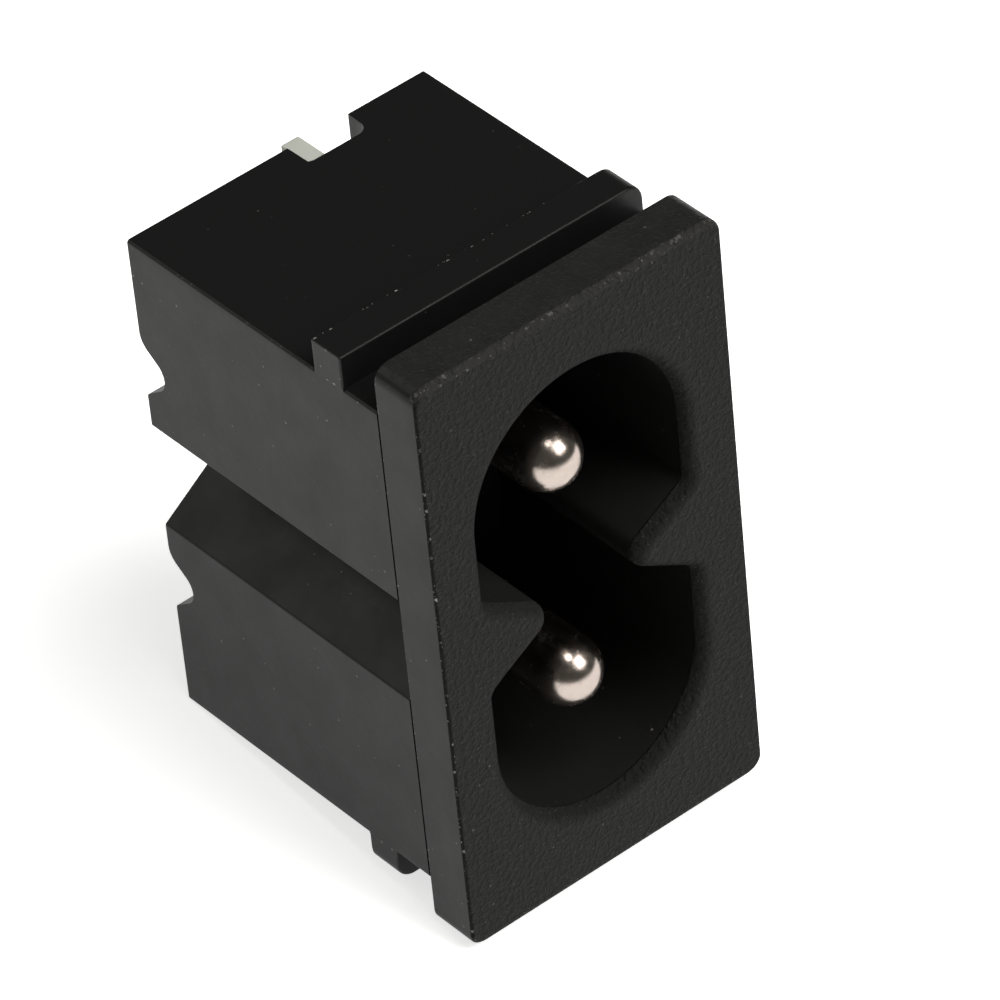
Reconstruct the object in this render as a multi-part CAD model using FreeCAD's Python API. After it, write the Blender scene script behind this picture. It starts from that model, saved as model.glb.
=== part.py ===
"""Figure eight mains inlet: a moulded housing with two round contact pins.

Frame: millimetres. The origin is the centre of the flange's front face, midway between the
pins. +X is across the flange, +Y goes back into the housing, +Z is up along the two pins.
"""
import FreeCAD, Part
import math
import os

# Contact pins
pin_pitch = 8.6
pin_diameter = 2.36
pin_setback = 0.65
pin_seat_gap = 0.02

# Contact tails: a thinner neck through the rear wall, flattened into an upright blade
neck_diameter = 1.8
neck_clearance = 0.02
neck_standoff = 0.1
neck_end_chamfer = 0.12
blade_thickness = 0.72
blade_proud = 0.4
blade_end_setback = 0.1
blade_root_overlap = 0.3
blade_edge_radius = 0.08
blade_seat_gap = 0.02

# Flange
flange_width = 12.0
flange_height = 22.15
flange_thickness = 1.85
flange_corner_radius = 0.55
flange_end_edge_radius = 0.25
flange_side_edge_radius = 0.1

# Body behind the flange
body_depth = 13.95
body_height = 18.6
body_side_step = 0.05
body_corner_radius = 0.12

# Ribs across the two ends: a panel edge slips in between each of them and the flange
panel_slot_width = 1.7
rib_thickness = 1.35
rib_rise = 1.2
rib_corner_radius = 0.6
rib_front_edge_radius = 0.1

# V grooves along the two long sides of the body
groove_height = 4.0
groove_depth = 2.8
groove_root_radius = 0.25
groove_lip_radius = 0.12

# Figure eight recess
recess_width = 8.2
recess_height = 16.9
recess_depth = 9.8
waist_gap = 3.6
waist_slope = 30.0
waist_tip_radius = 0.65
waist_foot_radius = 0.45
recess_rim_radius = 0.45

# Channels in the rear face: a V channel across each pin, and one end slot beside each pin
channel_width = 2.1
channel_slope = 35.0
channel_root_radius = 0.65
channel_upper_lip_radius = 0.7
channel_lower_lip_radius = 0.15
end_slot_foot = 0.4
end_slot_near_side = 0.4
end_slot_width = 2.4
end_slot_depth = 1.05
end_slot_corner_radius = 0.4

# Values worked out from the sizes above
pin_height = pin_pitch / 2
pin_radius = pin_diameter / 2
neck_radius = neck_diameter / 2
body_width = flange_width - 2 * body_side_step
rib_front = flange_thickness + panel_slot_width
pin_shoulder = recess_depth - pin_seat_gap
neck_end = body_depth + neck_standoff
end_slot_floor = body_depth - end_slot_depth
reach = 2 * max(flange_width, flange_height, body_depth)
tiny = 1e-6

X_AXIS = FreeCAD.Vector(1, 0, 0)
Y_AXIS = FreeCAD.Vector(0, 1, 0)
Z_AXIS = FreeCAD.Vector(0, 0, 1)


def vec(x, y, z):
    return FreeCAD.Vector(x, y, z)


def block(x_span, y_span, z_span):
    """A plain block, given its low and high value along each axis."""
    low = vec(x_span[0], y_span[0], z_span[0])
    size = vec(x_span[1], y_span[1], z_span[1]) - low
    return Part.makeBox(size.x, size.y, size.z, low)


def prism(points, y_low, y_high):
    """A closed outline in X and Z, carried along Y."""
    corners = [vec(x, y_low, z) for x, z in points]
    wire = Part.makePolygon(corners + [corners[0]])
    return Part.Face(wire).extrude(vec(0, y_high - y_low, 0))


def half_turn(shape):
    """The same shape turned half round about the Y axis."""
    turned = shape.copy()
    turned.rotate(vec(0, 0, 0), Y_AXIS, 180)
    return turned


def with_half_turn(housing, cutter):
    """The housing less a cutter and less the same cutter turned half round."""
    return housing.cut(cutter).cut(half_turn(cutter))


def runs_along(edge, axis):
    """True for a straight edge parallel to an axis."""
    if not isinstance(edge.Curve, Part.Line):
        return False
    return abs(abs(edge.Curve.Direction.dot(axis)) - 1) < tiny


def edges_along_y(shape, keep):
    """The edges parallel to Y whose distances |x| and |z| pass the test."""
    chosen = []
    for edge in shape.Edges:
        place = edge.CenterOfMass
        if runs_along(edge, Y_AXIS) and keep(abs(place.x), abs(place.z)):
            chosen.append(edge)
    return chosen


def flange_plate():
    """The front plate: rounded corners, softly rounded end edges and crisper side edges."""
    x_span = (-flange_width / 2, flange_width / 2)
    z_span = (-flange_height / 2, flange_height / 2)
    plate = block(x_span, (0, flange_thickness), z_span)
    ends = [e for e in plate.Edges if runs_along(e, X_AXIS) and e.CenterOfMass.y < tiny]
    sides = [e for e in plate.Edges if runs_along(e, Z_AXIS) and e.CenterOfMass.y < tiny]
    rounded_ends = plate.makeFillet(flange_end_edge_radius, ends)
    rounded_sides = plate.makeFillet(flange_side_edge_radius, sides)
    rounded_corners = plate.makeFillet(flange_corner_radius, edges_along_y(plate, lambda x, z: True))
    return rounded_ends.common(rounded_sides).common(rounded_corners)


def body_block():
    """The box behind the flange, with a V groove down each long side."""
    half_width = body_width / 2
    half_height = body_height / 2
    lip = groove_height / 2
    root = half_width - groove_depth
    outline = [(half_width, -half_height), (half_width, -lip), (root, 0), (half_width, lip),
               (half_width, half_height), (-half_width, half_height), (-half_width, lip),
               (-root, 0), (-half_width, -lip), (-half_width, -half_height)]
    body = prism(outline, flange_thickness / 2, body_depth)
    body = body.makeFillet(groove_root_radius, edges_along_y(body, lambda x, z: z < tiny))
    lips = edges_along_y(body, lambda x, z: abs(z - lip) < tiny and x > half_width - tiny)
    body = body.makeFillet(groove_lip_radius, lips)
    corners = edges_along_y(body, lambda x, z: z > half_height - tiny)
    body = body.makeFillet(body_corner_radius, corners)
    for height in (-pin_height, pin_height):
        body = with_channel(body, height)
    return body


def with_channel(body, height):
    """The body with a V channel cut across its rear face, level with one pin.

    The channel's root is rounded, its upper lip softly and its lower lip a little.
    """
    half_width = channel_width / 2
    root = body_depth - half_width / math.tan(math.radians(channel_slope))
    outline = [(body_depth + 1, height + half_width), (body_depth, height + half_width),
               (root, height), (body_depth, height - half_width),
               (body_depth + 1, height - half_width)]
    corners = [vec(-reach / 2, y, z) for y, z in outline]
    wire = Part.makePolygon(corners + [corners[0]])
    cutter = Part.Face(wire).extrude(vec(reach, 0, 0))
    bottom = [e for e in cutter.Edges if runs_along(e, X_AXIS) and e.CenterOfMass.y < root + tiny]
    body = body.cut(cutter.makeFillet(channel_root_radius, bottom))
    for side, radius in ((1, channel_upper_lip_radius), (-1, channel_lower_lip_radius)):
        lip = [e for e in body.Edges if runs_along(e, X_AXIS)
               and e.CenterOfMass.y > body_depth - tiny
               and abs(e.CenterOfMass.z - height - side * half_width) < tiny]
        body = body.makeFillet(radius, lip)
    return body


def end_rib():
    """The rib across the top end, parallel to the flange: square on the left, round on the right."""
    half_width = body_width / 2
    top = body_height / 2 + rib_rise
    foot = body_height / 2 - rib_rise / 2
    rib = block((-half_width, half_width), (rib_front, rib_front + rib_thickness), (foot, top))
    corner = [e for e in rib.Edges if runs_along(e, Y_AXIS)
              and e.CenterOfMass.x > 0 and e.CenterOfMass.z > top - tiny]
    rib = rib.makeFillet(rib_corner_radius, corner)
    front = [e for e in rib.Edges if e.BoundBox.YMax < rib_front + tiny
             and e.BoundBox.ZMax > foot + tiny and e.BoundBox.XMax > tiny - half_width]
    return rib.makeFillet(rib_front_edge_radius, front)


def recess_core():
    """The space that the plug fills: two round lobes, with a V rib each side of the waist."""
    half_width = recess_width / 2
    lobe_centre = recess_height / 2 - half_width
    front = -flange_thickness
    core = block((-half_width, half_width), (front, recess_depth), (-lobe_centre, lobe_centre))
    for side in (-1, 1):
        base = vec(0, front, side * lobe_centre)
        lobe = Part.makeCylinder(half_width, recess_depth - front, base, Y_AXIS)
        core = core.fuse(lobe)
    core = core.removeSplitter()
    slope = math.radians(waist_slope)
    apex = waist_gap / 2 - waist_tip_radius * (1 / math.sin(slope) - 1)
    outer = half_width + 1
    rise = (outer - apex) * math.tan(slope)
    rib = prism([(apex, 0), (outer, rise), (outer, -rise)], front, recess_depth)
    core = with_half_turn(core, rib)
    core = core.makeFillet(waist_tip_radius, edges_along_y(core, lambda x, z: z < tiny))
    foot = (half_width - apex) * math.tan(slope)
    feet = edges_along_y(core, lambda x, z: abs(z - foot) < tiny)
    return core.makeFillet(waist_foot_radius, feet)


def end_slot():
    """The slot in the rear face from behind the upper pin out through the end.

    Its far inner corner is rounded; the near one, where the blade stands, is sharp.
    """
    far_side = end_slot_near_side + end_slot_width
    slot = block((end_slot_near_side, far_side), (end_slot_floor, body_depth + 1),
                 (pin_height - end_slot_foot, reach / 2))
    corner = [e for e in slot.Edges if runs_along(e, Z_AXIS)
              and e.CenterOfMass.x > far_side - tiny and e.CenterOfMass.y < end_slot_floor + tiny]
    return slot.makeFillet(end_slot_corner_radius, corner)


def neck_hole():
    """The hole through the rear wall for the upper contact's neck."""
    start = vec(0, recess_depth - 1, pin_height)
    return Part.makeCylinder(neck_radius + neck_clearance, body_depth - recess_depth + 2, start,
                             Y_AXIS)


def inlet_housing():
    """The one-piece moulding."""
    housing = body_block().fuse([flange_plate(), end_rib(), half_turn(end_rib())])
    housing = housing.removeSplitter().cut(recess_core())
    limit_x = recess_width / 2 + tiny
    limit_z = recess_height / 2 + tiny
    rim = [e for e in housing.Edges
           if e.BoundBox.YMax < tiny and max(e.BoundBox.XMax, -e.BoundBox.XMin) < limit_x
           and max(e.BoundBox.ZMax, -e.BoundBox.ZMin) < limit_z]
    housing = housing.makeFillet(recess_rim_radius, rim)
    for cutter in (end_slot(), neck_hole()):
        housing = with_half_turn(housing, cutter)
    return housing


def contact_blade():
    """The flat upright end of the upper contact, standing against its slot's near side."""
    near = end_slot_near_side + blade_seat_gap
    x_span = (near, near + blade_thickness)
    y_span = (end_slot_floor + blade_seat_gap, body_depth + blade_proud)
    top = body_height / 2 - blade_end_setback
    blade = block(x_span, y_span, (pin_height - blade_root_overlap, top))
    ends = [e for e in blade.Edges if e.BoundBox.ZMin > top - tiny]
    return blade.makeFillet(blade_edge_radius, ends)


def contact_pin():
    """The upper contact: a domed pin that stands on the recess floor, its neck and its blade."""
    dome_centre = pin_setback + pin_radius
    dome_45 = pin_radius * math.sqrt(0.5)
    dome = Part.Arc(vec(0, pin_setback, 0), vec(dome_45, dome_centre - dome_45, 0),
                    vec(pin_radius, dome_centre, 0)).toShape()
    outline = [vec(pin_radius, dome_centre, 0), vec(pin_radius, pin_shoulder, 0),
               vec(neck_radius, pin_shoulder, 0), vec(neck_radius, neck_end - neck_end_chamfer, 0),
               vec(neck_radius - neck_end_chamfer, neck_end, 0), vec(0, neck_end, 0),
               vec(0, pin_setback, 0)]
    wire = Part.Wire([dome] + Part.makePolygon(outline).Edges)
    pin = Part.Face(wire).revolve(vec(0, 0, 0), Y_AXIS, 360)
    pin.translate(vec(0, 0, pin_height))
    return pin.fuse(contact_blade()).removeSplitter()


def save(name, shape):
    """Write one piece, which has to be a single sound solid."""
    solid = shape.Solids[0]
    if len(shape.Solids) != 1 or not solid.isValid():
        raise ValueError(name + " is not one sound solid")
    solid.exportStep("parts/" + name + ".step")
    print(name, round(solid.Volume, 3))


def main():
    os.makedirs("parts", exist_ok=True)
    save("inlet_housing", inlet_housing())
    upper_contact = contact_pin()
    save("upper_contact", upper_contact)
    save("lower_contact", half_turn(upper_contact))


main()
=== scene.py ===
"""Figure eight mains inlet: black moulded housing, two bare metal contacts and a pale studio.

All sizes are in metres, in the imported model's frame: the origin is the centre of the flange's
front face, +X runs across the flange, +Y back into the housing and +Z up along the two pins.
"""
import math

import bmesh
import bpy
import numpy as np
from mathutils import Matrix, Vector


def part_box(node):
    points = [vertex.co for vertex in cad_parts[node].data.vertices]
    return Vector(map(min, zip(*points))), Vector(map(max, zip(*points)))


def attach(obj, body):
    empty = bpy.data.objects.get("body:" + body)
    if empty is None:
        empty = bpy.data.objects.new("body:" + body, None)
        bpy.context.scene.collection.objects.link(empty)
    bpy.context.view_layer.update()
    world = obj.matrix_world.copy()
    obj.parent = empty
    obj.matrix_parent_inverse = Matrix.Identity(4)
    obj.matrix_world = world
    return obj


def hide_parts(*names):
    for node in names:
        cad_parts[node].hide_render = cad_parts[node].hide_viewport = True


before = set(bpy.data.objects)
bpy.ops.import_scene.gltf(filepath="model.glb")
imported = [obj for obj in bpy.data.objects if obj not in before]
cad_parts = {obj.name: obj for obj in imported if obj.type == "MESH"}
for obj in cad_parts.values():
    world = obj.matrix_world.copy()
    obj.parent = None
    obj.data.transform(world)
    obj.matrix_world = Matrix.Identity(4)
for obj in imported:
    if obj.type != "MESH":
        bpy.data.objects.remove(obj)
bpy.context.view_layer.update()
HOUSING_LOW, HOUSING_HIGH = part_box("inlet_housing")
CONTACT_LOW, CONTACT_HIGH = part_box("upper_contact")

bl_info = {
    "name": "Figure Eight Inlet",
    "version": (1, 0, 0),
    "blender": (4, 5, 0),
    "location": "View3D > Sidebar > Inlet",
    "description": "Builds a panel-mount figure eight mains inlet and a small photo studio for it",
    "category": "Add Mesh",
}

MM = 0.001

# Points nearer than the weld are joined, and edges that turn more than the crease stay sharp
WELD = 0.0008 * MM
CREASE = math.radians(32)

# The step in radians to which the housing's bearings are rounded
FINEST_TURN = 0.0006

# Where the softboxes point, and the light of the room round them
LAMP_AIM = (0.0, 0.006, 0.0)
ROOM_LIGHT = (0.05, 0.052, 0.047, 1.0)

# Name, place, width in metres, power in watts and tint of each softbox, and whether metal and
# plastic mirror it
SOFTBOXES = (
    ("fill_softbox", (0.1815, -0.26, 0.448), 0.34, 2.7, (1.0, 0.99, 0.97), False),
    ("key_softbox", (0.173, -0.387, 0.344), 0.28, 1.0, (1.0, 0.99, 0.95), True),
    ("top_softbox", (-0.02, -0.18, 0.517), 0.14, 0.35, (1.0, 0.99, 0.95), True),
    ("back_softbox", (0.27, 0.37, 0.38), 0.5, 0.03, (0.95, 0.98, 1.0), True),
    ("left_softbox", (-0.27, 0.37, 0.386), 0.36, 0.42, (1.0, 1.0, 0.93), True),
)


# Property groups

def length(name, description, default):
    """A length property in metres, shown to a hundredth of a millimetre."""
    return bpy.props.FloatProperty(name=name, description=description, default=default, min=0,
                                   precision=5, unit="LENGTH")


def angle(name, description, degrees):
    """An angle property, whose default is given in degrees."""
    return bpy.props.FloatProperty(name=name, description=description, subtype="ANGLE",
                                   default=math.radians(degrees))


def factor(name, description, default):
    """A property between 0 and 1."""
    return bpy.props.FloatProperty(name=name, description=description, default=default, min=0,
                                   max=1, subtype="FACTOR")


def colour(name, description, default):
    """A linear colour property."""
    return bpy.props.FloatVectorProperty(name=name, description=description, default=default,
                                         size=3, min=0, max=1, subtype="COLOR")


class InletHousingSizes(bpy.types.PropertyGroup):
    """Sizes of the moulded housing."""
    flange_width: length("Flange width", "Width of the front plate",
                         float(HOUSING_HIGH[0] - HOUSING_LOW[0]))
    flange_height: length("Flange height", "Height of the front plate",
                          float(HOUSING_HIGH[2] - HOUSING_LOW[2]))
    flange_thickness: length("Flange thickness", "Thickness of the front plate", 1.85 * MM)
    flange_corner: length("Flange corner", "Radius of the front plate's four corners", 0.55 * MM)
    flange_end_edge: length("End edge", "Rounding of the plate's top and bottom front edges",
                            0.25 * MM)
    flange_side_edge: length("Side edge", "Rounding of the plate's left and right front edges",
                             0.1 * MM)
    body_depth: length("Depth", "From the flange's front face to the rear face",
                       float(HOUSING_HIGH[1] - HOUSING_LOW[1]))
    body_height: length("Body height", "Height of the body behind the flange", 18.6 * MM)
    body_side_step: length("Side step", "How far the body's sides lie inside the flange's",
                           0.05 * MM)
    body_corner: length("Body corner", "Rounding along the body's long corners", 0.12 * MM)
    slot_width: length("Panel slot", "Gap between the flange and the end ribs", 1.7 * MM)
    rib_thickness: length("Rib thickness", "Thickness of the end ribs", 1.35 * MM)
    rib_rise: length("Rib rise", "Height of the end ribs above the body", 1.2 * MM)
    rib_corner: length("Rib corner", "Radius of each end rib's rounded corner", 0.6 * MM)
    rib_edge: length("Rib edge", "Rounding of the end ribs' front edges", 0.1 * MM)
    groove_height: length("Groove height", "Mouth of the V groove down each side", 4.0 * MM)
    groove_depth: length("Groove depth", "Depth of the V groove to its sharp root", 2.8 * MM)
    groove_root: length("Groove root", "Rounding at the root of the V groove", 0.25 * MM)
    groove_lip: length("Groove lip", "Rounding at the lips of the V groove", 0.12 * MM)
    recess_width: length("Recess width", "Width of the figure eight recess", 8.2 * MM)
    recess_height: length("Recess height", "Height of the figure eight recess", 16.9 * MM)
    recess_depth: length("Recess depth", "Depth of the figure eight recess", 9.8 * MM)
    recess_rim: length("Recess rim", "Rounding round the mouth of the recess", 0.45 * MM)
    waist_gap: length("Waist gap", "Gap between the two ribs at the waist", 3.6 * MM)
    waist_slope: angle("Waist slope", "Slope of the waist ribs' flanks", 30)
    waist_tip: length("Waist tip", "Rounding of the waist ribs' tips", 0.65 * MM)
    waist_foot: length("Waist foot", "Rounding where the waist ribs meet the side walls",
                       0.45 * MM)
    channel_width: length("Channel width", "Mouth of the V channel behind each pin", 2.1 * MM)
    channel_slope: angle("Channel slope", "Half the angle of the V channels", 35)
    channel_root: length("Channel root", "Rounding at the root of the V channels", 0.65 * MM)
    channel_upper_lip: length("Channel upper lip", "Rounding of the channels' upper lips",
                              0.7 * MM)
    channel_lower_lip: length("Channel lower lip", "Rounding of the channels' lower lips",
                              0.15 * MM)
    end_slot_foot: length("End slot foot", "How far the end slots start beyond the pins' axes",
                          0.4 * MM)
    end_slot_near: length("End slot start", "From the middle to the end slot's near side",
                          0.4 * MM)
    end_slot_width: length("End slot width", "Width of the slot beside each contact's tail",
                           2.4 * MM)
    end_slot_depth: length("End slot depth", "Depth of the slot in the rear face", 1.05 * MM)
    end_slot_corner: length("End slot corner", "Rounding of the slot's far inner corner",
                            0.4 * MM)
    edge_break: length("Edge break", "Small rounding on the edges that look sharp", 0.04 * MM)
    seam_width: length("Seam width", "Fine seam round the body behind the flange", 0.14 * MM)
    seam_share: factor("Seam share", "How far the seam draws the body's outline in", 0.015)


class InletContactSizes(bpy.types.PropertyGroup):
    """Sizes of the two contacts."""
    pin_height: length("Pin height", "Height of a pin's axis above the middle",
                       4.3 * MM)
    pin_radius: length("Pin radius", "Radius of the round pin", float(CONTACT_HIGH[0]))
    pin_setback: length("Pin setback", "From the flange's face back to the pin's tip",
                        float(CONTACT_LOW[1]))
    pin_shoulder: length("Pin shoulder", "Depth at which the pin stands on the recess floor",
                         9.78 * MM)
    neck_radius: length("Neck radius", "Radius of the neck through the rear wall", 0.9 * MM)
    neck_end: length("Neck end", "Depth of the neck's rear end", 14.05 * MM)
    neck_chamfer: length("Neck chamfer", "Chamfer at the neck's rear end", 0.12 * MM)
    blade_near: length("Blade start", "From the middle to the blade's near side", 0.42 * MM)
    blade_thickness: length("Blade thickness", "Thickness of the flattened tail", 0.72 * MM)
    blade_front: length("Blade front", "Depth at which the blade's front edge stands",
                        12.92 * MM)
    blade_rear: length("Blade rear", "Depth of the blade's rear edge", float(CONTACT_HIGH[1]))
    blade_foot: length("Blade foot", "Height of the blade's lower end", 4.0 * MM)
    blade_top: length("Blade top", "Height of the blade's upper end", float(CONTACT_HIGH[2]))
    blade_edge: length("Blade edge", "Rounding of the blade's edges", 0.07 * MM)


class InletFinishes(bpy.types.PropertyGroup):
    """Colours of the plastic, the metal and the studio."""
    plastic: colour("Plastic", "The black moulding compound", (0.006, 0.006, 0.0062))
    # Also the tone of the face and end faces, the painted sheen on the rubbed end edges and the
    # painted fill light on the recess's walls
    plastic_rubbed_and_lit: colour("Rubbed plastic", "The plastic where its edges are rubbed and torn",
                         (0.075, 0.074, 0.068))
    # Also the colour of the painted glints on the burrs and on the face's grain
    dust: colour("Dust", "Fine dust and moulding flash on the plastic", (0.32, 0.31, 0.29))
    nickel: colour("Nickel", "Bright nickel plate", (0.76, 0.65, 0.585))
    nickel_stain: colour("Nickel stain", "The plate where it is dull", (0.38, 0.29, 0.23))
    tinned: colour("Tinned tails", "The dull plate on the tails", (0.6, 0.61, 0.56))
    floor: colour("Floor", "The white table", (0.9, 0.9, 0.9))
    face_roughness: factor("Face roughness", "Roughness of the flange's eroded face", 0.72)
    worn_roughness: factor("Worn roughness", "Roughness of rubbed edges and the recess's rim",
                           0.95)


class InletStageSettings(bpy.types.PropertyGroup):
    """Camera and floor."""
    camera_place: bpy.props.FloatVectorProperty(
        name="Camera place", description="Where the camera stands", size=3, unit="LENGTH",
        precision=5, default=(-116.86 * MM, -152.94 * MM, 162.72 * MM))
    camera_forward: bpy.props.FloatVectorProperty(
        name="Camera direction", description="Direction in which the camera looks", size=3,
        precision=4, default=(0.45998, 0.6191, -0.6365))
    camera_roll: angle("Camera roll", "Turn of the camera about its own axis", 5.87)
    camera_lens: bpy.props.FloatProperty(
        name="Lens", description="Focal length in millimetres", default=297.8, min=1)
    sensor: bpy.props.FloatProperty(
        name="Sensor", description="Sensor width in millimetres", default=36.0, min=1)
    floor_size: length("Floor size", "Width of the table top", 1.2)
    floor_glow: factor("Floor glow", "White that the camera sees over the table's own light",
                       0.7)
    mirrored_glow: factor("Mirrored glow", "Share of plain white in reflections of the table",
                          0.5)


PROPERTY_GROUPS = {
    "inlet_housing": InletHousingSizes,
    "inlet_contacts": InletContactSizes,
    "inlet_finishes": InletFinishes,
    "inlet_stage": InletStageSettings,
}


# Outlines and surfaces

def rounded_outline(corners, radii, steps):
    """A closed outline in a plane through the corners, each rounded by its own radius.

    With half the corner's angle h, the arc of radius r has its centre r / sin(h) from the
    corner along the bisector and touches the two sides r / tan(h) from the corner. The arc's
    points are turned evenly from one touching point to the other about that centre.
    """
    corners = np.asarray(corners, float)
    radii = np.asarray(radii, float)[:, None]
    back = np.roll(corners, 1, axis=0) - corners
    ahead = np.roll(corners, -1, axis=0) - corners
    back /= np.linalg.norm(back, axis=1, keepdims=True)
    ahead /= np.linalg.norm(ahead, axis=1, keepdims=True)
    half = np.arccos(np.clip((back * ahead).sum(axis=1), -1, 1))[:, None] / 2
    bisector = (back + ahead) / np.linalg.norm(back + ahead, axis=1, keepdims=True)
    centre = corners + bisector * radii / np.sin(half)
    first = corners + back * radii / np.tan(half) - centre
    last = corners + ahead * radii / np.tan(half) - centre
    turn = (math.pi - 2 * half)[:, None]
    share = np.linspace(0, 1, steps)[None, :, None]
    arc = (np.sin((1 - share) * turn) * first[:, None] + np.sin(share * turn) * last[:, None])
    return (centre[:, None] + arc / np.sin(turn)).reshape(-1, 2)


def cast(outline, angles):
    """The points of a closed outline on the rays from its middle at the given angles.

    A ray u meets the side from p along d at the distance (p x d) / (u x d).
    """
    bearing = np.arctan2(outline[:, 1], outline[:, 0]) % (2 * math.pi)
    order = np.argsort(bearing, kind="stable")
    ring = outline[order]
    bearing = bearing[order]
    side = np.searchsorted(bearing, angles % (2 * math.pi), side="right")
    start = ring[side - 1]
    along = ring[side % len(ring)] - start
    ray = np.stack([np.cos(angles), np.sin(angles)], axis=1)
    distance = cross(start, along) / cross(ray, along)
    return ray * distance[:, None]


def cross(a, b):
    """The cross product of two rows of flat vectors."""
    return a[:, 0] * b[:, 1] - a[:, 1] * b[:, 0]


def quads(rows, columns, closed):
    """The faces of a grid of rows and columns of points, closed or open along its rows."""
    index = np.arange(rows * columns).reshape(rows, columns)
    if closed:
        index = np.concatenate([index, index[:, :1]], axis=1)
    return np.stack([index[:-1, :-1], index[:-1, 1:], index[1:, 1:], index[1:, :-1]],
                    axis=-1).reshape(-1, 4)


def surface_object(name, grids):
    """One object made of grids of points, as (rows, columns, 3) arrays with their closed flags."""
    points = np.concatenate([grid.reshape(-1, 3) for grid, _ in grids])
    faces = []
    first = 0
    for grid, closed in grids:
        faces.append(quads(grid.shape[0], grid.shape[1], closed) + first)
        first += grid.shape[0] * grid.shape[1]
    mesh = bpy.data.meshes.new(name)
    mesh.from_pydata(points, [], np.concatenate(faces))
    piece = bpy.data.objects.new(name, mesh)
    bpy.context.collection.objects.link(piece)
    weld_mesh(mesh)
    mesh.shade_smooth()
    mesh.set_sharp_from_angle(angle=CREASE)
    return piece


def weld_mesh(mesh):
    """Join points that lie together, drop faces without area and turn the faces outwards."""
    work = bmesh.new()
    work.from_mesh(mesh)
    bmesh.ops.remove_doubles(work, verts=work.verts, dist=WELD)
    bmesh.ops.dissolve_degenerate(work, edges=work.edges, dist=WELD)
    bmesh.ops.recalc_face_normals(work, faces=work.faces)
    work.to_mesh(mesh)
    work.free()
    mesh.update()


def blend(first, last, portion):
    """A ring, or a depth, that lies a portion of the way from one to another."""
    return first + (last - first) * portion


def quarter_round(make_ring, steps):
    """The rings round a quarter-round edge, made at even turns t of its arc.

    Each ring is made from two shares of the edge's radius: 1 - sin t, which falls to 0, and
    1 - cos t, which rises from 0.
    """
    return [make_ring(1 - math.sin(t), 1 - math.cos(t))
            for t in np.linspace(0, math.pi / 2, steps)]


def ring_stack(rings):
    """Rings in X and Z with their depths, as one grid of points."""
    grid = [np.stack([flat[:, 0], np.broadcast_to(depth, flat.shape[:1]), flat[:, 1]], axis=1)
            for flat, depth in rings]
    return np.array(grid)


# The housing's outlines, looking along Y

def recess_outline(s, out):
    """The figure eight, widened by a distance: two half-round lobes and two V ribs.

    The ribs' flanks stay parallel as the outline widens, so each rib's point moves outwards
    by the distance over the sine of its slope, and its rounding gets smaller by the distance.
    """
    point = s.waist_gap / 2 - s.waist_tip * (1 / math.sin(s.waist_slope) - 1)
    point += out / math.sin(s.waist_slope)
    half = s.recess_width / 2 + out
    top = s.recess_height / 2 + out
    foot = (half - point) * math.tan(s.waist_slope)
    corners = [(half, -foot), (point, 0), (half, foot), (half, top), (-half, top),
               (-half, foot), (-point, 0), (-half, -foot), (-half, -top), (half, -top)]
    radii = [s.waist_foot + out, s.waist_tip - out, s.waist_foot + out, half, half] * 2
    return rounded_outline(corners, radii, 25)


def plate_outline(half, top, corner):
    """A rectangle with four rounded corners."""
    corners = [(half, -top), (half, top), (-half, top), (-half, -top)]
    return rounded_outline(corners, [corner] * 4, 13)


def body_half(s):
    """Half the width of the body."""
    return s.flange_width / 2 - s.body_side_step


def grooved_outline(s, top, corner, other_corner):
    """A rectangle as wide as the body, with a V groove in each long side.

    The first radius is that of the corners at the lower right and the upper left, and the
    second that of the other two.
    """
    half = body_half(s)
    lip = s.groove_height / 2
    root = half - s.groove_depth
    corners = [(half, -top), (half, -lip), (root, 0), (half, lip), (half, top),
               (-half, top), (-half, lip), (-root, 0), (-half, -lip), (-half, -top)]
    radii = [corner, s.groove_lip, s.groove_root, s.groove_lip, other_corner] * 2
    return rounded_outline(corners, radii, 9)


def body_outline(s):
    """The body's outline, with four corners alike."""
    return grooved_outline(s, s.body_height / 2, s.body_corner, s.body_corner)


def rib_outline(s):
    """The body's outline with the end ribs standing on it, each with one round corner."""
    return grooved_outline(s, s.body_height / 2 + s.rib_rise, s.edge_break, s.rib_corner)


def housing_angles(s, contacts):
    """The bearings at which every outline of the housing is sampled.

    They are the bearings of each outline's own points and of the lines where the rear
    channels and slots begin and end, folded into one quarter, filled up with even steps and
    mirrored to all four quarters. A channel's lip reaches a little over half its radius past
    the edge of the flank.
    """
    lip_reach = 0.55
    spread = s.channel_width / 2 + s.channel_upper_lip * lip_reach
    channel = contacts.pin_height + np.linspace(-spread, spread, 65)
    far = s.end_slot_near + s.end_slot_width
    corner = far - s.end_slot_corner * (1 - np.sin(np.linspace(0, math.pi / 2, 7)))
    across = np.concatenate([[s.end_slot_near, s.end_slot_near + s.edge_break / 2], corner,
                             [far + s.edge_break / 2]])
    outlines = [recess_outline(s, 0), body_outline(s), rib_outline(s),
                plate_outline(s.flange_width / 2, s.flange_height / 2, s.flange_corner)]
    found = [np.arctan2(np.abs(line[:, 1]), np.abs(line[:, 0])) for line in outlines]
    found += [np.arctan2(channel, body_half(s)), np.arctan2(s.body_height / 2, across),
              np.linspace(0, math.pi / 2, 76)]
    quarter = np.unique(np.round(np.concatenate(found) / FINEST_TURN)) * FINEST_TURN
    quarter = quarter[(quarter > FINEST_TURN) & (quarter < math.pi / 2 - FINEST_TURN)]
    quarter = np.concatenate([[0], quarter, [math.pi / 2]])
    half_turn = np.concatenate([quarter, math.pi - quarter[-2::-1]])
    return np.concatenate([half_turn[:-1], half_turn[:-1] + math.pi])


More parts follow.
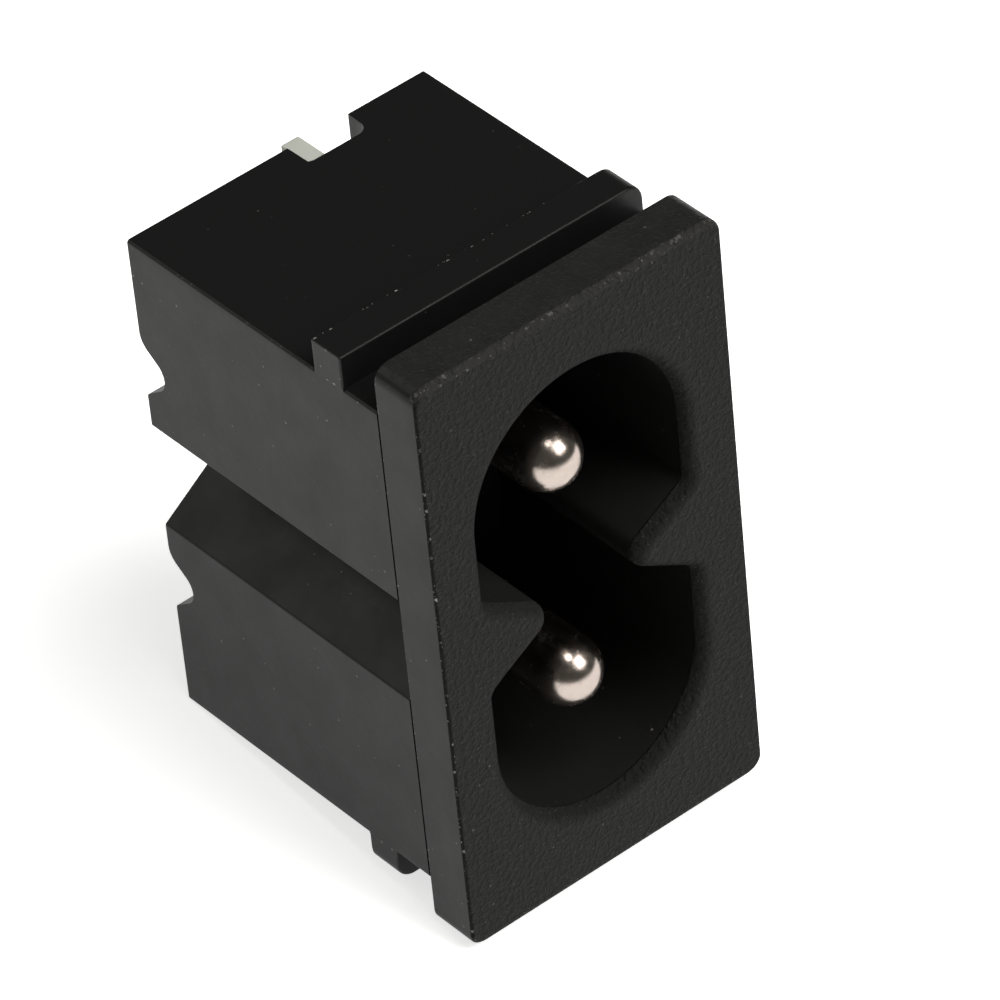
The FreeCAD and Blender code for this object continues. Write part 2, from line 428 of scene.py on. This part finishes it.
def channel_lip(s, off, lip):
    """Depth of a channel's flank and lip at the distance off from its middle.

    The flank falls by 1 / tan(slope). Its lip is an arc that touches the rear face
    lip * tan((90 - slope) / 2) outside the flank's edge and the flank itself at
    lip * cos(slope) nearer to the middle.
    """
    half = s.channel_width / 2
    start = half + lip * math.tan((math.pi / 2 - s.channel_slope) / 2)
    flank = (half - off) / math.tan(s.channel_slope)
    arc = lip - np.sqrt(np.clip(lip ** 2 - (off - start) ** 2, 0, None))
    depth = np.where(off < start - lip * math.cos(s.channel_slope), flank, arc)
    return np.where(off < start, depth, 0)


def channel_depth(s, off):
    """Depth of a V channel at a height off above its middle, with its rounded root and lips.

    The root's arc has its centre r / sin(slope) above the sharp root.
    """
    flank = np.where(off > 0, channel_lip(s, off, s.channel_upper_lip),
                     channel_lip(s, -off, s.channel_lower_lip))
    sharp = s.channel_width / 2 / math.tan(s.channel_slope)
    centre = sharp - s.channel_root / math.sin(s.channel_slope)
    root = centre + np.sqrt(np.clip(s.channel_root ** 2 - off ** 2, 0, None))
    return np.where(np.abs(off) < s.channel_root * math.cos(s.channel_slope), root, flank)


def rear_depth(s, contacts, x, z):
    """Depth of the rear face at x and z.

    The face is flat but for a channel at each pin's height and the end slots, which have a
    nearly upright near wall, a flat floor and a rounded far corner. Where a channel and a
    slot meet, the deeper of the two counts.
    """
    off = np.abs(z) - contacts.pin_height + s.end_slot_foot
    channel = channel_depth(s, z - np.where(z < 0, -1, 1) * contacts.pin_height)
    side = np.where(z > 0, x, -x) - s.end_slot_near
    near_wall = np.clip(side / (s.edge_break / 2), 0, 1)
    into_corner = np.clip((side - s.end_slot_width + s.end_slot_corner) / s.end_slot_corner, 0, 1)
    corner = s.end_slot_corner * (1 - np.sqrt(1 - into_corner ** 2))
    far_wall = np.clip(1 - (side - s.end_slot_width) / (s.edge_break / 2), 0, 1)
    slot = (s.end_slot_depth - corner) * near_wall * far_wall
    slot = np.where(off > 0, slot, 0)
    return s.body_depth - np.maximum(channel, slot)


def recess_rings(s, angles):
    """From the middle of the recess floor up its walls and over its rounded rim."""
    wall = cast(recess_outline(s, 0), angles)
    floor_places = (0, 0.3, 0.6, 0.9, 0.995, 1)
    wall_places = (0.995, 0.8, 0.6, 0.4, 0.2, 0.05)

    def rim_ring(behind, out):
        return cast(recess_outline(s, s.recess_rim * out), angles), s.recess_rim * behind

    rings = [(wall * place, s.recess_depth) for place in floor_places]
    rings += [(wall, blend(s.recess_rim, s.recess_depth, place)) for place in wall_places]
    return rings + quarter_round(rim_ring, 9)


def flange_rings(s, angles, inner):
    """Over the flange's face, round its front edge, along its side and round its back edge."""
    half = s.flange_width / 2
    top = s.flange_height / 2
    full = cast(plate_outline(half, top, s.flange_corner), angles)
    end = np.clip((np.abs(full[:, 1]) - top + s.flange_corner) / s.flange_corner, 0, 1) ** 2
    edge = blend(s.flange_side_edge, s.flange_end_edge, end)
    face_places = (0.02, 0.35, 0.7, 0.98)

    def front_ring(inset, behind):
        outline = plate_outline(half - s.flange_side_edge * inset, top - s.flange_end_edge * inset,
                                s.flange_corner)
        return cast(outline, angles), edge * behind

    front = quarter_round(front_ring, 9)
    face = front[0][0]
    back = s.flange_thickness
    rings = [(blend(inner, face, place), 0.0) for place in face_places]
    return rings + front + [(full, np.maximum(edge, back * 0.4)), (full, back - s.edge_break),
                            (full, back)]


def body_rings(s, angles):
    """Behind the flange: the slot floor, the end ribs and the long sides, up to the channels.

    A rib's front edge grows to its full rounding over the first sixth of the rib's rise.
    """
    small = s.edge_break
    body = cast(body_outline(s), angles)
    rib = cast(rib_outline(s), angles)
    raised = np.clip((np.abs(rib[:, 1]) - s.body_height / 2) / s.rib_rise * 6, 0, 1)
    front = s.flange_thickness + s.slot_width
    back = front + s.rib_thickness
    last = s.body_depth - s.end_slot_depth - 4 * small
    seam = body * (1 - s.seam_share)
    seam_end = s.flange_thickness + s.seam_width
    inward = rib - body
    reach = np.maximum(np.linalg.norm(inward, axis=1, keepdims=True), 1e-9)
    inward = inward / reach * np.minimum(reach, s.rib_edge)
    broken = rib - inward * (small / s.rib_edge)

    def front_ring(inset, behind):
        return rib - inward * inset, front + s.rib_edge * raised * behind

    rings = [(seam, s.flange_thickness), (seam, seam_end), (body, seam_end),
             (body, seam_end + small), (body, front - small), (body, front),
             (blend(body, rib - inward, 0.95), front)]
    rings += quarter_round(front_ring, 7)
    rings += [(rib, front + s.rib_edge * 1.3), (rib, back - 2 * small), (rib, back - small),
              (broken, back), (blend(body, broken, 0.05), back), (body, back)]
    return rings + [(body, back + small), (body, blend(back, last, 0.5)), (body, last)]


def rear_grid(s, contacts, rim, angles):
    """The rear face as one grid whose edge points are the body's own.

    Its columns follow the points of the body's top and its rows the points of its side. Each
    row is drawn in to the V groove's width at that height, and every point takes its depth
    from the channels and slots.
    """
    turn = np.arctan2(s.body_height / 2, body_half(s))
    corner = int(np.argmin(np.abs(angles - turn)))
    quarter = int(np.argmin(np.abs(angles - math.pi / 2)))
    right = np.concatenate([rim[-corner:], rim[:corner + 1]])
    top = rim[corner:2 * quarter - corner + 1][::-1]
    half = top[-1, 0]
    x = top[None, :, 0] / half * right[:, None, 0]
    z = np.repeat(right[:, None, 1], len(top), axis=1)
    z[-1] = top[:, 1]
    z[0] = -top[::-1, 1]
    x[0] = -top[::-1, 0]
    return np.stack([x, rear_depth(s, contacts, x, z), z], axis=-1)


def housing_surface(s, contacts):
    """The housing's skin: one run of rings from the recess floor to the rear, and the rear."""
    angles = housing_angles(s, contacts)
    rings = recess_rings(s, angles)
    rings += flange_rings(s, angles, rings[-1][0])
    rings += body_rings(s, angles)
    rim = cast(body_outline(s), angles)
    rings.append((rim, rear_depth(s, contacts, rim[:, 0], rim[:, 1])))
    return [(ring_stack(rings), True), (rear_grid(s, contacts, rim, angles), False)]


# The contacts' surfaces

def turned_surface(profile, height, steps):
    """A profile of radius and depth, turned about a pin's axis at a height."""
    turn = np.linspace(0, 2 * math.pi, steps, endpoint=False)
    radius, depth = np.asarray(profile).T
    return np.stack([radius[:, None] * np.cos(turn),
                     np.broadcast_to(depth[:, None], (len(depth), steps)),
                     height + radius[:, None] * np.sin(turn)], axis=-1)


def pin_profile(c):
    """Radius and depth along a pin: round tip, straight pin, shoulder, neck and chamfer."""
    turn = np.linspace(0, math.pi / 2, 33)
    centre = c.pin_setback + c.pin_radius
    dome = np.stack([c.pin_radius * np.sin(turn), centre - c.pin_radius * np.cos(turn)], axis=1)
    hold = 0.03 * MM
    straight = [(c.pin_radius, centre + hold), (c.pin_radius, c.pin_shoulder - hold),
                (c.pin_radius, c.pin_shoulder), (c.neck_radius, c.pin_shoulder),
                (c.neck_radius, c.pin_shoulder + hold),
                (c.neck_radius, c.neck_end - c.neck_chamfer),
                (c.neck_radius - c.neck_chamfer, c.neck_end), (0, c.neck_end)]
    return np.concatenate([dome, straight])


def blade_surface(c):
    """The flattened tail: a rounded rectangle in X and Y carried up Z, with rounded ends.

    At the turn t round an end the rectangle lies edge * (1 - sin t) inside its sides and
    edge * (1 - cos t) from the end.
    """
    half = np.array([c.blade_thickness, c.blade_rear - c.blade_front]) / 2
    middle = np.array([c.blade_near, c.blade_front]) + half
    full = rounded_outline([(half[0], -half[1]), (half[0], half[1]), (-half[0], half[1]),
                            (-half[0], -half[1])], [c.blade_edge] * 4, 9)
    turn = np.linspace(0, math.pi / 2, 7)
    inset = np.concatenate([[1], 1 - np.sin(turn), (1 - np.sin(turn))[::-1], [1]])
    rise = c.blade_edge * (1 - np.cos(turn))
    height = np.concatenate([[c.blade_foot], c.blade_foot + rise, (c.blade_top - rise)[::-1],
                             [c.blade_top]])
    shrink = 1 - inset[:, None] * c.blade_edge / half
    shrink[0] = shrink[-1] = 0
    flat = middle + full[None] * shrink[:, None]
    return np.concatenate([flat, np.broadcast_to(height[:, None, None], flat.shape[:2] + (1,))],
                          axis=2)


def half_turned(grid):
    """The same points turned half round about the Y axis."""
    return grid * np.array([-1, 1, -1])


# Shader maths

class Value:
    """A socket that takes part in Python sums: each operation adds its own Math node."""

    def __init__(self, shader, socket):
        self.shader = shader
        self.socket = socket

    def math(self, operation, *others):
        return self.shader.node("ShaderNodeMath", {"operation": operation}, [self, *others])

    def __add__(self, other):
        return self.math("ADD", other)

    def __sub__(self, other):
        return self.math("SUBTRACT", other)

    def __rsub__(self, other):
        return self.shader.node("ShaderNodeMath", {"operation": "SUBTRACT"}, [other, self])

    def __mul__(self, other):
        return self.math("MULTIPLY", other)

    def __gt__(self, other):
        return self.math("GREATER_THAN", other)

    def __lt__(self, other):
        return self.math("LESS_THAN", other)

    __radd__ = __add__
    __rmul__ = __mul__


class Shader:
    """A material's node tree, with one method that adds any node."""

    def __init__(self, name):
        self.material = bpy.data.materials.new(name)
        self.material.use_nodes = True
        self.tree = self.material.node_tree
        self.tree.nodes.clear()
        self.output = self.tree.nodes.new("ShaderNodeOutputMaterial")

    def node(self, kind, settings, inputs, output=0):
        """Add a node, apply its settings, then fill its sockets with values or links."""
        made = self.tree.nodes.new(kind)
        for name, value in settings.items():
            setattr(made, name, value)
        pairs = inputs.items() if isinstance(inputs, dict) else enumerate(inputs)
        for key, value in pairs:
            if isinstance(value, Value):
                self.tree.links.new(value.socket, made.inputs[key])
            else:
                made.inputs[key].default_value = value
        return Value(self, made.outputs[output])

    def place(self):
        """The surface's place in metres, in the model's own frame."""
        return self.node("ShaderNodeTexCoord", {}, [], "Object")

    def axes(self, vector):
        """The three parts of a vector."""
        split = self.node("ShaderNodeSeparateXYZ", {}, [vector]).socket.node
        return [Value(self, socket) for socket in split.outputs]

    def noise(self, place, size, detail=2.0, roughness=0.5):
        """Smooth noise from 0 to 1 whose lumps are about the given size in metres."""
        return self.node("ShaderNodeTexNoise", {},
                         {"Vector": place, "Scale": 1 / size, "Detail": detail,
                          "Roughness": roughness})

    def cells(self, place, size, radius, threshold):
        """Round spots in a share of the cells of a given size.

        A cell's own random numbers choose it where they pass the threshold, scale its dot,
        whose largest radius is a share of the cell's size, and set how strong the dot is.
        """
        distance = self.node("ShaderNodeTexVoronoi", {"feature": "F1"},
                             {"Vector": place, "Scale": 1 / size})
        own = Value(self, distance.socket.node.outputs["Color"])
        chosen, scale, strength = self.axes(own)
        return (distance < scale * radius) * (chosen > threshold) * strength

    def ramp(self, value, low, high):
        """0 below low, 1 above high, and an even slope between them."""
        return self.node("ShaderNodeMapRange", {"clamp": True},
                         {"Value": value, "From Min": low, "From Max": high})

    def tint(self, portion, first, second):
        """One colour turning into another, through the Mix node's three colour sockets."""
        return self.node("ShaderNodeMix", {"data_type": "RGBA"},
                         {0: portion, 6: first, 7: second}, 2)

    def bump(self, height, distance, strength=1.0):
        """A relief: height 1 stands the given distance in metres above height 0."""
        return self.node("ShaderNodeBump", {},
                         {"Height": height, "Distance": distance, "Strength": strength})

    def finish(self, surface):
        """Join the surface to the output and hand back the material."""
        self.tree.links.new(surface.socket, self.output.inputs["Surface"])
        return self.material


def rgba(colour_value):
    """A colour property as the four numbers that a socket takes."""
    return (*colour_value, 1.0)


def band(shader, value, middle, width):
    """1 at a place and 0 from a width away from it."""
    return 1 - shader.ramp((value - middle).math("ABSOLUTE"), 0.0, width)


def either(first, second):
    """The larger of two masks."""
    return first.math("MAXIMUM", second)


def recess_masks(shader, s, across, height, y):
    """Masks of the face round the recess's mouth, of its rim and of the walls behind it."""
    round_mouth = 1.5 * s.recess_rim
    mouth = across < s.recess_width / 2 + round_mouth
    mouth = mouth * (height < s.recess_height / 2 + round_mouth)
    mouth = mouth * (1 - shader.ramp(y, s.recess_rim, 1.1 * s.recess_rim))
    rim = mouth * shader.ramp(y, 0.0, 0.3 * s.recess_rim)
    # The walls behind the rim, which are painted lighter as painted fill light
    inside = across < s.recess_width / 2 + s.recess_rim
    inside = inside * (height < s.recess_height / 2 + s.recess_rim)
    inside = inside * shader.ramp(y, 0.0, s.recess_rim) * (y < s.recess_depth + 0.1 * MM)
    return mouth, rim, inside


def sharp_edges(shader, s, across, height, y):
    """Masks of the edges that are torn, whose burrs carry painted glints.

    They are the front and the rear edges of the flange's sides, the upper rear edges of the
    end ribs and the long edges of the body. The first mask is also where the face is rubbed.
    """
    half = s.flange_width / 2
    rib_top = s.body_height / 2 + s.rib_rise
    rib_back = s.flange_thickness + s.slot_width + s.rib_thickness
    return (band(shader, across, half, 0.1 * MM) * band(shader, y, 0.0, 0.1 * MM),
            band(shader, across, half, 0.2 * MM) * band(shader, y, s.flange_thickness, 0.06 * MM),
            band(shader, y, rib_back, 0.12 * MM) * band(shader, height, rib_top, 0.12 * MM),
            band(shader, height, s.body_height / 2, 0.06 * MM)
            * band(shader, across, body_half(s), 0.06 * MM))


def moulded_plastic(finishes, s):
    """Black moulded plastic: eroded grain on the flange's face, satin elsewhere.

    The flange's end edges are rubbed and painted paler, partly as a painted sheen on their
    rounding. The face is a little greyer than the rest, and the recess's walls are painted
    lighter as painted fill light. Torn burrs along the sharp edges and the face's grain carry
    painted glints, and dust lies all over.
    """
    shader = Shader("moulded_black_plastic")
    place = shader.place()
    x, y, z = shader.axes(place)
    across = x.math("ABSOLUTE")
    height = z.math("ABSOLUTE")
    end = s.flange_height / 2
    end_edge = s.flange_end_edge

    mouth, rim, inside = recess_masks(shader, s, across, height, y)
    face = either(1 - shader.ramp(y, 0.01 * MM, 0.05 * MM), mouth)
    top = shader.ramp(height, end - 0.12 * MM, end - 0.02 * MM)
    # The flange's rounded end edges: rubbed, with a painted sheen on their rounding
    worn_and_sheen = (shader.ramp(height, end - 1.3 * end_edge, end - 0.8 * end_edge)
            * (1 - shader.ramp(y, 0.7 * end_edge, 1.2 * end_edge)))
    edges = sharp_edges(shader, s, across, height, y)
    torn = worn_and_sheen * 0.16
    for edge in edges:
        torn = either(torn, edge)
    rubbed = either(worn_and_sheen, shader.ramp(edges[0], 0.0, 0.3))
    grain = either(either(face, worn_and_sheen), top * 0.4)

    eroded = shader.noise(place, 0.11 * MM, 3.0, 0.7)
    lumps = shader.ramp(shader.noise(place, 0.2 * MM, 1.0), 0.45, 0.65)
    satin = shader.noise(place, 0.33 * MM, 3.0, 0.6)
    cloudy = shader.noise(place, 1.6 * MM, 3.0, 0.6)
    pits = shader.cells(place, 0.16 * MM, 0.45, 0.4)
    relief = grain * (eroded * 0.6 + lumps * 0.4 - pits * 0.4) + (1 - grain) * satin * 0.04

    # Torn burrs along the sharp edges, their glints painted on as pale spots
    burr_glints = shader.cells(place, 0.16 * MM, 0.5, 0.1) * shader.ramp(torn, 0.1, 0.4)
    dust = shader.cells(place, 0.42 * MM, 0.1, 0.6) * (1 - face * 0.5)
    # Painted glints on the face's grain and on the rubbed end edges
    painted_grain_glints = shader.cells(place, 0.1 * MM, 0.36, 0.5) * (face * 0.1 + worn_and_sheen * 0.25)
    # The rounded end edges are painted paler, partly rubbed wear and partly a painted sheen; the
    # flange's top and bottom faces vary in tone
    pale = either(worn_and_sheen * (0.15 + cloudy * 0.25), top * cloudy * 0.2)
    # The face is a little greyer; the recess's walls are painted lighter as painted fill light
    pale = either(pale, face * 0.03 + inside * 0.06)
    base = shader.tint(pale, rgba(finishes.plastic), rgba(finishes.plastic_rubbed_and_lit))
    # Burr glints, dust and grain glints take the dust colour; the glints are painted light
    base = shader.tint(either(either(burr_glints, dust * 0.6), painted_grain_glints), base, rgba(finishes.dust))

    rough = 0.26 + cloudy * 0.2 + satin * 0.06
    rough = rough + face * (finishes.face_roughness - rough)
    rough = rough + either(rubbed, rim) * (finishes.worn_roughness - rough)
    surface = shader.node("ShaderNodeBsdfPrincipled", {},
                          {"Base Color": base, "Roughness": rough, "IOR": 1.4,
                           "Normal": shader.bump(relief, 0.12 * MM)})
    return shader.finish(surface)


def nickel_plate(finishes, c):
    """Bright nickel plate: fine turning lines round the pin, dull patches and small pits.

    From just before the blade's front edge the plate is a dull tin.
    """
    shader = Shader("nickel_plate")
    place = shader.place()
    x, y, z = shader.axes(place)
    off = z.math("ABSOLUTE") - c.pin_height
    radius = (x * x + off * off).math("SQRT")
    on_dome = y < c.pin_setback + c.pin_radius
    rings = shader.node("ShaderNodeCombineXYZ", {}, [radius * on_dome, y, 0.0])
    turning = shader.noise(rings, 0.03 * MM, 2.0, 0.5)
    patches = shader.ramp(shader.noise(place, 0.45 * MM, 4.0, 0.65), 0.45, 0.7)
    pits = shader.cells(place, 0.26 * MM, 0.16, 0.6)
    base = shader.tint(patches * 0.14 + pits * 0.4, rgba(finishes.nickel),
                       rgba(finishes.nickel_stain))
    dull = y > c.blade_front - 0.2 * MM
    base = shader.tint(dull, base, rgba(finishes.tinned))
    rough = 0.17 + patches * 0.12 + turning * 0.05 + dull * 0.4
    relief = shader.bump(turning * 0.5 + patches * 0.2 - pits * 0.5, 0.005 * MM, 0.8)
    surface = shader.node("ShaderNodeBsdfPrincipled", {},
                          {"Base Color": base, "Roughness": rough,
                           "Metallic": 1 - dull * 0.7, "Normal": relief})
    return shader.finish(surface)


def table_white(finishes, glow, mirrored_glow):
    """White table: a matt white that glows for the camera and is plainer in mirrors."""
    shader = Shader("table_white")
    place = shader.place()
    cloudy = shader.noise(place, 0.08, 2.0, 0.5)
    white = shader.tint(cloudy, rgba(finishes.floor), rgba([v * 0.985 for v in finishes.floor]))
    seen = shader.node("ShaderNodeLightPath", {}, [], "Is Camera Ray")
    light = shader.tint(seen, (0, 0, 0, 1), (glow, glow, glow, 1))
    matt = shader.node("ShaderNodeBsdfPrincipled", {},
                       {"Base Color": white, "Roughness": 0.75, "Specular IOR Level": 0.2,
                        "Emission Color": light, "Emission Strength": 1.0})
    plain = shader.node("ShaderNodeEmission", {}, {"Color": (1, 1, 1, 1), "Strength": 1.0})
    mirrored = shader.node("ShaderNodeLightPath", {}, [], "Is Glossy Ray")
    surface = shader.node("ShaderNodeMixShader", {},
                          [mirrored * mirrored_glow, matt, plain])
    return shader.finish(surface)


# Operators

def settings(context):
    """The four property groups of the scene."""
    scene = context.scene
    return scene.inlet_housing, scene.inlet_contacts, scene.inlet_finishes, scene.inlet_stage


class INLET_OT_housing(bpy.types.Operator):
    """Make the moulded housing"""
    bl_idname = "inlet.housing"
    bl_label = "Moulded Housing"
    bl_options = {"REGISTER", "UNDO"}

    def execute(self, context):
        sizes, contacts, finishes, _ = settings(context)
        piece = surface_object("moulded_housing", housing_surface(sizes, contacts))
        piece.data.materials.append(moulded_plastic(finishes, sizes))
        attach(piece, "root")
        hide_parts("inlet_housing")
        return {"FINISHED"}


class INLET_OT_contacts(bpy.types.Operator):
    """Make the upper contact and, turned half round, the lower one"""
    bl_idname = "inlet.contacts"
    bl_label = "Contacts"
    bl_options = {"REGISTER", "UNDO"}

    def execute(self, context):
        _, sizes, finishes, _ = settings(context)
        metal = nickel_plate(finishes, sizes)
        upper = [turned_surface(pin_profile(sizes), sizes.pin_height, 96), blade_surface(sizes)]
        lower = [half_turned(grid) for grid in upper]
        for name, node, grids in (("contact_upper", "upper_contact", upper),
                                  ("contact_lower", "lower_contact", lower)):
            piece = surface_object(name, [(grid, True) for grid in grids])
            piece.data.materials.append(metal)
            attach(piece, "root")
            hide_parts(node)
        return {"FINISHED"}


def table_surface(s, width):
    """A flat square grid that touches the flange's and the body's lower rear edges.

    It slopes up towards the rear by the step between those edges over the way between them.
    """
    slope = math.atan2((s.flange_height - s.body_height) / 2, s.body_depth - s.flange_thickness)
    reach = np.linspace(-width / 2, width / 2, 13)
    x, along = np.meshgrid(reach, reach)
    return np.stack([x, s.flange_thickness + along * math.cos(slope),
                     -s.flange_height / 2 + along * math.sin(slope)], axis=-1)


def add_softbox(name, place, width, power, tint, mirrored):
    """A soft square lamp at a place, turned to the lamps' aim."""
    lamp = bpy.data.lights.new(name, "AREA")
    lamp.shape = "SQUARE"
    lamp.size = width
    lamp.energy = power
    lamp.color = tint
    holder = bpy.data.objects.new(name, lamp)
    bpy.context.collection.objects.link(holder)
    holder.matrix_world = facing_matrix(place, np.subtract(place, LAMP_AIM), 0.0)
    holder.visible_glossy = mirrored


def add_camera(stage):
    """The photograph's camera, with its lens and its turn about its own axis."""
    view = bpy.data.cameras.new("photo_camera")
    view.lens = stage.camera_lens
    view.sensor_fit = "HORIZONTAL"
    view.sensor_width = stage.sensor
    view.clip_start = 0.01
    view.clip_end = 10.0
    camera = bpy.data.objects.new("photo_camera", view)
    bpy.context.collection.objects.link(camera)
    back = -np.asarray(stage.camera_forward)
    camera.matrix_world = facing_matrix(stage.camera_place, back, -stage.camera_roll)
    return camera


def facing_matrix(place, back, roll):
    """A frame at a place whose own Z axis points along back, rolled about that axis."""
    back = np.asarray(back, float) / np.linalg.norm(back)
    level = np.cross([0.0, 0.0, 1.0], back)
    level /= np.linalg.norm(level)
    upright = np.cross(back, level)
    right = math.cos(roll) * level + math.sin(roll) * upright
    up = np.cross(back, right)
    rows = np.eye(4)
    rows[:3, 0], rows[:3, 1], rows[:3, 2], rows[:3, 3] = right, up, back, place
    return Matrix(rows.tolist())


class INLET_OT_stage(bpy.types.Operator):
    """Set up the table, the lamps, the surroundings and the camera"""
    bl_idname = "inlet.stage"
    bl_label = "Studio"
    bl_options = {"REGISTER", "UNDO"}

    def execute(self, context):
        sizes, _, finishes, stage = settings(context)
        floor = surface_object("table", [(table_surface(sizes, stage.floor_size), False)])
        floor.data.materials.append(table_white(finishes, stage.floor_glow,
                                                stage.mirrored_glow))

        world = bpy.data.worlds.new("studio_room")
        world.use_nodes = True
        context.scene.world = world
        room = world.node_tree.nodes["Background"]
        room.inputs["Color"].default_value = ROOM_LIGHT
        room.inputs["Strength"].default_value = 1.0

        for softbox in SOFTBOXES:
            add_softbox(*softbox)
        context.scene.camera = add_camera(stage)
        context.scene.view_settings.view_transform = "Standard"
        return {"FINISHED"}


class INLET_PT_panel(bpy.types.Panel):
    """The inlet's operators and sizes in the sidebar"""
    bl_idname = "INLET_PT_panel"
    bl_label = "Figure Eight Inlet"
    bl_space_type = "VIEW_3D"
    bl_region_type = "UI"
    bl_category = "Inlet"

    def draw(self, context):
        for operator in OPERATORS:
            self.layout.operator(operator.bl_idname)
        for name, group in PROPERTY_GROUPS.items():
            box = self.layout.box()
            for prop in group.__annotations__:
                box.prop(getattr(context.scene, name), prop)


OPERATORS = (INLET_OT_housing, INLET_OT_contacts, INLET_OT_stage)


def register():
    for group in PROPERTY_GROUPS.values():
        bpy.utils.register_class(group)
    for name, group in PROPERTY_GROUPS.items():
        setattr(bpy.types.Scene, name, bpy.props.PointerProperty(type=group))
    for made in (*OPERATORS, INLET_PT_panel):
        bpy.utils.register_class(made)


def unregister():
    for made in (INLET_PT_panel, *reversed(OPERATORS)):
        bpy.utils.unregister_class(made)
    for name in PROPERTY_GROUPS:
        delattr(bpy.types.Scene, name)
    for group in reversed(PROPERTY_GROUPS.values()):
        bpy.utils.unregister_class(group)


def main():
    register()
    bpy.ops.inlet.housing()
    bpy.ops.inlet.contacts()
    bpy.ops.inlet.stage()


if __name__ == "__main__":
    main()
